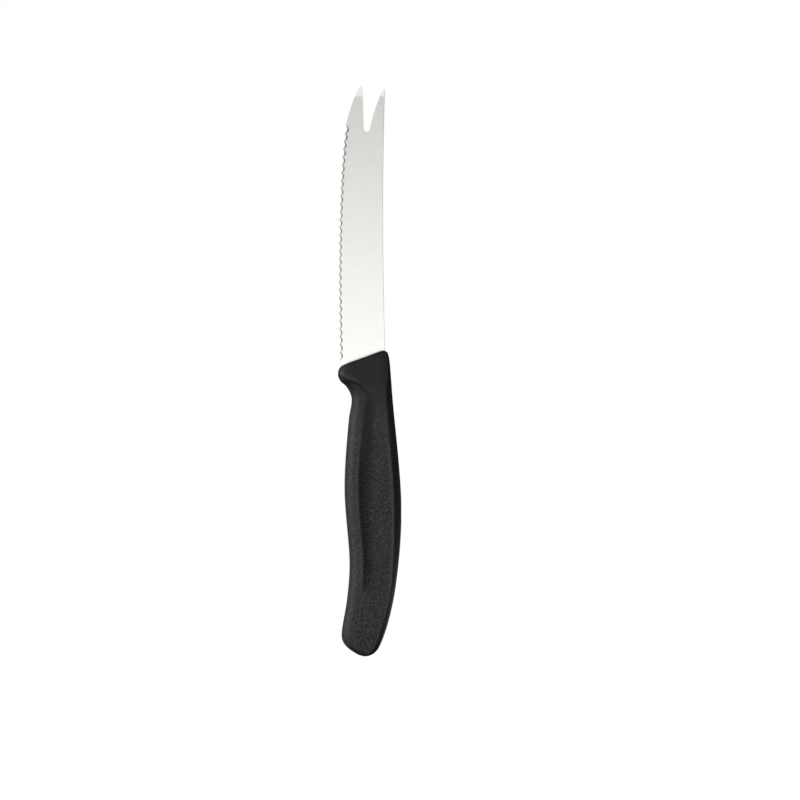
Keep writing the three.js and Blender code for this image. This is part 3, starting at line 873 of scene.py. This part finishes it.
def plastic_material():
    """Black polypropylene with a spark-eroded grain, finer and rougher on the guard, paler just under it, and
    rubbed smoother and paler along the crisp edges, where the paler colour is also a painted highlight."""
    material, n, shader = new_surface("grained_polypropylene")
    at = n.add("ShaderNodeTexCoord").outputs["Object"]
    grain = n.add("ShaderNodeGroup", node_tree=GRAIN)
    n.put(grain.inputs["Vector"], at)
    n.put(grain.inputs["Size"], GRAIN_SIZE)
    height = n.split(at)[2]
    grain_start, grain_end, pale_start, pale_end = (
        (z - RACK_HEIGHT) * MM for z in GRAIN_HEIGHTS + PALE_HEIGHTS)
    coarse = n.spread(height, grain_start, grain_end, 1.0, GUARD_GRAIN)
    pale = n.math("SUBTRACT", n.spread(height, pale_start, pale_end, 1.0, GUARD_GRAIN), coarse)
    glint = n.math("MULTIPLY", grain.outputs["Glint"], coarse)
    wear_sheen = n.add("ShaderNodeAttribute", attribute_name="wear").outputs["Fac"]
    # Painted highlight: the crisp edges are coloured paler, as well as polished smoother below; the band
    # under the guard is paler too
    lift = n.weigh((wear_sheen, pale), (WEAR_SHEEN_LIFT, PALE_LIFT))
    bright = n.math("ADD", glint, lift, clamp=True)
    n.put(shader.inputs["Base Color"], n.mix(bright, PLASTIC_PIT, PLASTIC_PEAK))
    grained = n.spread(glint, 0, 1, *PLASTIC_ROUGHNESS)
    rough = n.math("ADD", grained, n.spread(coarse, GUARD_GRAIN, 1.0, GUARD_ROUGHNESS, 0.0))
    polish = n.math("MULTIPLY", n.math("MINIMUM", wear_sheen, 1.0), WEAR_POLISH)
    n.put(shader.inputs["Roughness"], n.math("SUBTRACT", rough, polish))
    shader.inputs["Specular IOR Level"].default_value = PLASTIC_SPECULAR
    relief = n.math("MULTIPLY", grain.outputs["Height"], coarse)
    n.put(shader.inputs["Normal"], n.bump(relief, 1.0, GRAIN_DEPTH * MM))
    return material


# Stage

def make_floor():
    """A wide flat sheet under the knife, white to the eye, with room for a soft shadow near the middle.
    Mirrored in the knife it is dark near the middle, pale further off in front and on the left, and pale from
    further off on the right. As paper it is pale on the left and dark on the right."""
    u, v = np.meshgrid(np.linspace(-FLOOR_SIZE, FLOOR_SIZE, 3), np.linspace(-FLOOR_SIZE, FLOOR_SIZE, 3))
    points = np.stack([u, v, np.full_like(u, FLOOR_HEIGHT)], -1).reshape(-1, 3)
    corners = np.array([[0], [1], [3], [4]])
    floor = mesh_piece("floor", points, (corners + (0, 1, 4, 3)).tolist(), PLAIN_SHARP_ANGLE)
    material, n = new_material("pale_floor")
    at = n.add("ShaderNodeTexCoord").outputs["Object"]
    flat = n.scale(at, (1.0, 1.0, 0.0))
    far = n.add("ShaderNodeVectorMath", {0: flat}, operation="LENGTH").outputs["Value"]
    across, depth, _ = n.split(at)
    left = n.math("MULTIPLY", n.spread(far, *LEFT_LEVEL), n.spread(depth, *LEFT_DEPTH_LEVEL))
    right = n.math("MULTIPLY", n.spread(far, *RIGHT_LEVEL), n.spread(far, *RIGHT_FAR_LEVEL))
    level = n.spread(across, *LEVEL_TURN, left, right)
    light = n.add("ShaderNodeLightPath").outputs
    bounce = n.math("MAXIMUM", light["Is Glossy Ray"], light["Is Transmission Ray"])
    mirrored = n.math("MULTIPLY", bounce, level)
    seen = n.math("MAXIMUM", light["Is Camera Ray"], mirrored)
    share = n.math("MULTIPLY", n.spread(far, *SHADOW_LEVEL), seen)
    tint = n.mix(n.spread(across, *PAPER_TURN), PAPER_LEFT, PAPER_RIGHT)
    paper = n.add("ShaderNodeBsdfDiffuse", {"Color": tint})
    white = n.add("ShaderNodeEmission", {"Color": WHITE, "Strength": 1.0})
    both = n.add("ShaderNodeMixShader", {0: share, 1: paper.outputs[0], 2: white.outputs[0]})
    n.add("ShaderNodeOutputMaterial", {"Surface": both.outputs[0]})
    floor.data.materials.append(material)


def make_world():
    """White to the eye. Reflections and soft light see a dim room that is paler high up on the left and
    nearly black on the right, with a narrow white backdrop straight behind the knife."""
    world = bpy.data.worlds.new("studio")
    bpy.context.scene.world = world
    world.use_nodes = True
    n = Nodes(world.node_tree)
    across, depth, height = n.split(n.add("ShaderNodeTexCoord").outputs["Generated"])
    left = n.mix(n.spread(height, *RAISED_TURN), ROOM_LEFT_LOW, ROOM_LEFT_HIGH)
    room = n.mix(n.spread(across, *LEFT_TURN), ROOM_MIDDLE, left)
    room = n.mix(n.spread(depth, *BACKDROP_TURN), room, BACKDROP)
    room = n.mix(n.spread(across, *RIGHT_TURN), room, ROOM_RIGHT)
    light = n.add("ShaderNodeLightPath").outputs
    colour = n.mix(light["Is Camera Ray"], room, WHITE)
    back = n.add("ShaderNodeBackground", {"Color": colour, "Strength": 1.0})
    n.add("ShaderNodeOutputWorld", {"Surface": back.outputs[0]})


def make_softbox(name, location, target, width, height, radiance):
    """A rectangular lamp of the given radiance, facing the target. Its power is radiance times pi times
    area."""
    lamp = bpy.data.lights.new(name, "AREA")
    lamp.shape = "RECTANGLE"
    lamp.size, lamp.size_y = width, height
    lamp.energy = radiance * math.pi * width * height
    holder = bpy.data.objects.new(name, lamp)
    holder.location = location
    holder.rotation_mode = "QUATERNION"
    holder.rotation_quaternion = (Vector(target) - Vector(location)).to_track_quat("-Z", "Y")
    bpy.context.scene.collection.objects.link(holder)


def make_camera():
    """Square on to the knife: the picture's width in millimetres and the lens give the distance."""
    lens = bpy.data.cameras.new("camera")
    lens.lens, lens.sensor_width = LENS, SENSOR
    width = PICTURE_WIDTH / PIXELS_PER_MM
    reach, height = PICTURE_CENTRE
    camera = bpy.data.objects.new("camera", lens)
    camera.location = place((reach, -width * LENS / SENSOR, height))
    camera.rotation_euler = (math.pi / 2, 0, 0)
    bpy.context.scene.collection.objects.link(camera)
    bpy.context.scene.camera = camera


bpy.context.scene.view_settings.view_transform = "Standard"

handle = make_handle()
handle.data.materials.append(plastic_material())
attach(handle, "root")
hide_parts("handle")

blade = make_blade()
blade.data.materials.append(steel_material())
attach(blade, "root")
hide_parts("blade")

make_floor()
make_world()
make_camera()
for row in SOFTBOXES:
    make_softbox(*row)
